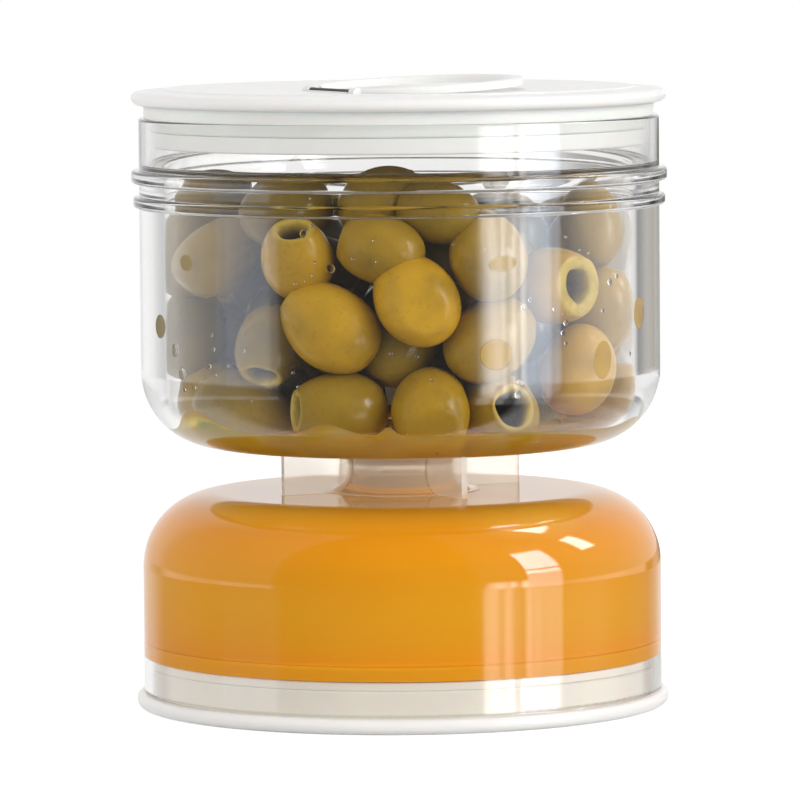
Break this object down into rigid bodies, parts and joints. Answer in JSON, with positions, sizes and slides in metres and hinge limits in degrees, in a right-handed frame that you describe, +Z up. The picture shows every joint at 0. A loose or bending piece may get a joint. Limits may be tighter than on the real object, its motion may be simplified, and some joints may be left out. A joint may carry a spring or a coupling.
{
  "type": "pickle keeper with lift strainer",
  "caption": "Flip-over hourglass pickle keeper: clear upper and lower bowls on a ribbed waist, lift-out strainer, white push-in lid with swing-up ring, white base cap",
  "frame": {"origin": "centre of the standing ring under the foot, on the bowls' axis, at floor level", "axes": "+Z up along the bowls' axis; +X towards the pull ring's free end; ribs of the waist along X and Y"},
  "size_m": [0.13, 0.13, 0.1527],
  "materials": {
    "clear_plastic": "clear, polished",
    "white_plastic": "satin",
    "silicone": "translucent white, soft",
    "frosted_plastic": "frosted",
    "dark_steel": "blackened"
  },
  "bodies": {
    "base": {"base_cover": "white_plastic", "base_plug": "white_plastic", "base_seal": "silicone"},
    "jar": {"lower_bowl": "clear_plastic", "neck_core": "clear_plastic", "upper_bowl": "clear_plastic"},
    "strainer": {"strainer": "frosted_plastic"},
    "lid": {"top_lid_cover": "white_plastic", "top_lid_plug": "white_plastic", "top_lid_seal": "silicone", "pull_ring_pin": "dark_steel"},
    "ring": {"pull_ring": "white_plastic"}
  },
  "joints": [
    {"name": "jar_lift", "type": "slide", "parent": "base", "child": "jar", "axis": [0, 0, 1], "range_m": [0, 0.016]},
    {"name": "lid_lift", "type": "slide", "parent": "jar", "child": "lid", "axis": [0, 0, 1], "range_m": [0, 0.018]},
    {"name": "strainer_lift", "type": "slide", "parent": "jar", "child": "strainer", "axis": [0, 0, 1], "range_m": [0, 0.012]},
    {"name": "ring_swing", "type": "hinge", "parent": "lid", "child": "ring", "pos_m": [-0.018, 0, 0.1495], "axis": [0, -1, 0], "range_deg": [0, 95]}
  ]
}
